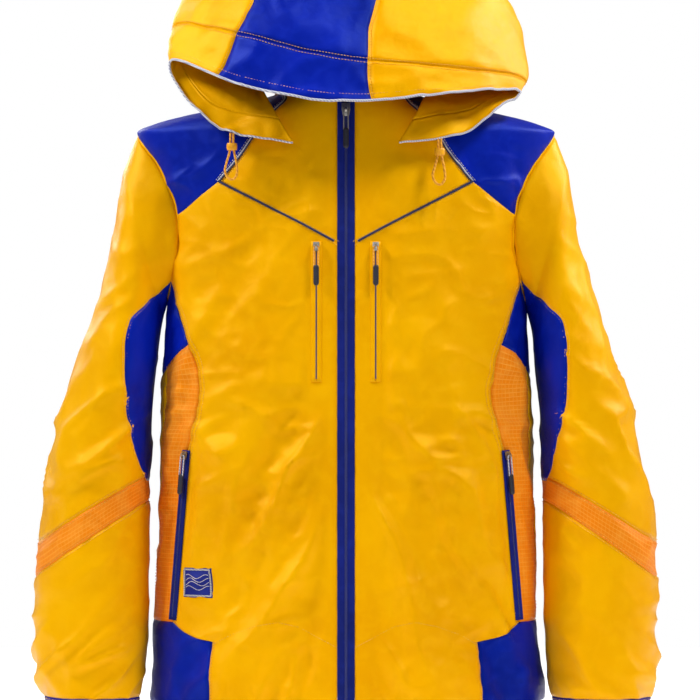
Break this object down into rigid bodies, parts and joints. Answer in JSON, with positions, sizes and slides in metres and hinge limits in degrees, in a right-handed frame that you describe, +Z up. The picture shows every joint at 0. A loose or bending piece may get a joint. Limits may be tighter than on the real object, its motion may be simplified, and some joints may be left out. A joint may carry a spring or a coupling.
{
  "type": "hooded ski jacket",
  "caption": "Hooded ski jacket with panelled shell, set-in sleeves, zipped front and pockets, lining, powder skirt, tilting hood and sliding zip pulls.",
  "frame": {"origin": "where the hanger loop at the back of the neck carries the jacket", "axes": "+Z up along the front zip, -Y out of the wearer's chest, +X to the wearer's left"},
  "size_m": [0.7198, 0.2673, 0.9233],
  "materials": {
    "shell_yellow": "satin coated nylon",
    "shell_blue": "satin coated nylon",
    "ripstop_orange": "matt reinforced weave",
    "lining_dark": "smooth taffeta",
    "zip_tape": "woven tape with moulded coil",
    "zip_metal": "nickel plated",
    "pull_rubber": "moulded matt",
    "cord_yellow": "braided elastic",
    "toggle_yellow": "moulded"
  },
  "bodies": {
    "shell": {"front_left": "shell_yellow", "chest_left": "shell_yellow", "side_panel_left": "shell_yellow", "shoulder_yoke_left": "shell_blue", "underarm_insert_left": "shell_blue", "hem_side_left": "shell_blue", "side_strip_left": "ripstop_orange", "chest_zip_left_tape": "zip_tape", "hand_zip_left_tape": "zip_tape", "front_right": "shell_yellow", "chest_right": "shell_yellow", "side_panel_right": "shell_yellow", "shoulder_yoke_right": "shell_blue", "underarm_insert_right": "shell_blue", "hem_side_right": "shell_blue", "side_strip_right": "ripstop_orange", "chest_zip_right_tape": "zip_tape", "hand_zip_right_tape": "zip_tape", "back": "shell_yellow", "collar": "shell_yellow", "lining": "lining_dark", "hanger_loop": "lining_dark", "powder_skirt": "shell_blue", "storm_flap": "shell_blue", "main_zip_tape": "zip_tape"},
    "hood": {"hood_left": "shell_yellow", "hood_brim_left": "shell_yellow", "hood_cord_left": "cord_yellow", "hood_right": "shell_yellow", "hood_brim_right": "shell_yellow", "hood_cord_right": "cord_yellow", "hood_centre": "shell_blue", "hood_brim_centre": "shell_blue"},
    "sleeve_left": {"sleeve_upper_left": "shell_yellow", "sleeve_lower_left": "shell_yellow", "cuff_left": "shell_blue", "cuff_tab_left": "shell_blue", "sleeve_band_left": "ripstop_orange"},
    "sleeve_right": {"sleeve_upper_right": "shell_yellow", "sleeve_lower_right": "shell_yellow", "cuff_right": "shell_blue", "cuff_tab_right": "shell_blue", "sleeve_band_right": "ripstop_orange"},
    "hood_toggle_left": {"hood_toggle_left": "toggle_yellow"},
    "chest_zip_left_slider": {"chest_zip_left_slider": "zip_metal"},
    "chest_zip_left_pull": {"chest_zip_left_pull": "pull_rubber"},
    "hand_zip_left_slider": {"hand_zip_left_slider": "zip_metal"},
    "hand_zip_left_pull": {"hand_zip_left_pull": "pull_rubber"},
    "hood_toggle_right": {"hood_toggle_right": "toggle_yellow"},
    "chest_zip_right_slider": {"chest_zip_right_slider": "zip_metal"},
    "chest_zip_right_pull": {"chest_zip_right_pull": "pull_rubber"},
    "hand_zip_right_slider": {"hand_zip_right_slider": "zip_metal"},
    "hand_zip_right_pull": {"hand_zip_right_pull": "pull_rubber"},
    "main_zip_slider": {"main_zip_slider": "zip_metal"},
    "main_zip_pull": {"main_zip_pull": "pull_rubber"}
  },
  "joints": [
    {"name": "hood_tilt", "type": "hinge", "parent": "shell", "child": "hood", "pos_m": [0, 0.002, 0.008], "axis": [-1, 0, 0], "range_deg": [0, 60]},
    {"name": "sleeve_left_raise", "type": "hinge", "parent": "shell", "child": "sleeve_left", "pos_m": [0.251, -0.075, -0.034], "axis": [0, -1, 0], "range_deg": [0, 50]},
    {"name": "sleeve_right_raise", "type": "hinge", "parent": "shell", "child": "sleeve_right", "pos_m": [-0.251, -0.075, -0.034], "axis": [0, 1, 0], "range_deg": [0, 50]},
    {"name": "main_zip_slide", "type": "slide", "parent": "shell", "child": "main_zip_slider", "axis": [0, -0.0732, -0.9973], "range_m": [0, 0.66]},
    {"name": "main_zip_pull_swing", "type": "hinge", "parent": "main_zip_slider", "child": "main_zip_pull", "pos_m": [0, -0.15935, -0.01651], "axis": [-1, 0, 0], "range_deg": [0, 120]},
    {"name": "chest_zip_left_slide", "type": "slide", "parent": "shell", "child": "chest_zip_left_slider", "axis": [0, -0.0731, -0.9973], "range_m": [0, 0.146]},
    {"name": "chest_zip_left_pull_swing", "type": "hinge", "parent": "chest_zip_left_slider", "child": "chest_zip_left_pull", "pos_m": [0.03418, -0.17207, -0.17398], "axis": [-0.9995, -0.0305, 0.0022], "range_deg": [0, 120]},
    {"name": "hand_zip_left_slide", "type": "slide", "parent": "shell", "child": "hand_zip_left_slider", "axis": [0.0814, 0.0001, -0.9967], "range_m": [0, 0.178]},
    {"name": "hand_zip_left_pull_swing", "type": "hinge", "parent": "hand_zip_left_slider", "child": "hand_zip_left_pull", "pos_m": [0.18801, -0.1506, -0.41427], "axis": [-0.7404, -0.6695, -0.0605], "range_deg": [0, 120]},
    {"name": "hood_toggle_left_slide", "type": "slide", "parent": "hood", "child": "hood_toggle_left", "axis": [0, 0, 1], "range_m": [0, 0.006]},
    {"name": "chest_zip_right_slide", "type": "slide", "parent": "shell", "child": "chest_zip_right_slider", "axis": [0, -0.0731, -0.9973], "range_m": [0, 0.146]},
    {"name": "chest_zip_right_pull_swing", "type": "hinge", "parent": "chest_zip_right_slider", "child": "chest_zip_right_pull", "pos_m": [-0.03418, -0.17207, -0.17398], "axis": [-0.9995, 0.0305, -0.0022], "range_deg": [0, 120]},
    {"name": "hand_zip_right_slide", "type": "slide", "parent": "shell", "child": "hand_zip_right_slider", "axis": [-0.0814, 0.0001, -0.9967], "range_m": [0, 0.178]},
    {"name": "hand_zip_right_pull_swing", "type": "hinge", "parent": "hand_zip_right_slider", "child": "hand_zip_right_pull", "pos_m": [-0.18801, -0.1506, -0.41427], "axis": [-0.7404, 0.6695, 0.0605], "range_deg": [0, 120]},
    {"name": "hood_toggle_right_slide", "type": "slide", "parent": "hood", "child": "hood_toggle_right", "axis": [0, 0, 1], "range_m": [0, 0.006]}
  ]
}
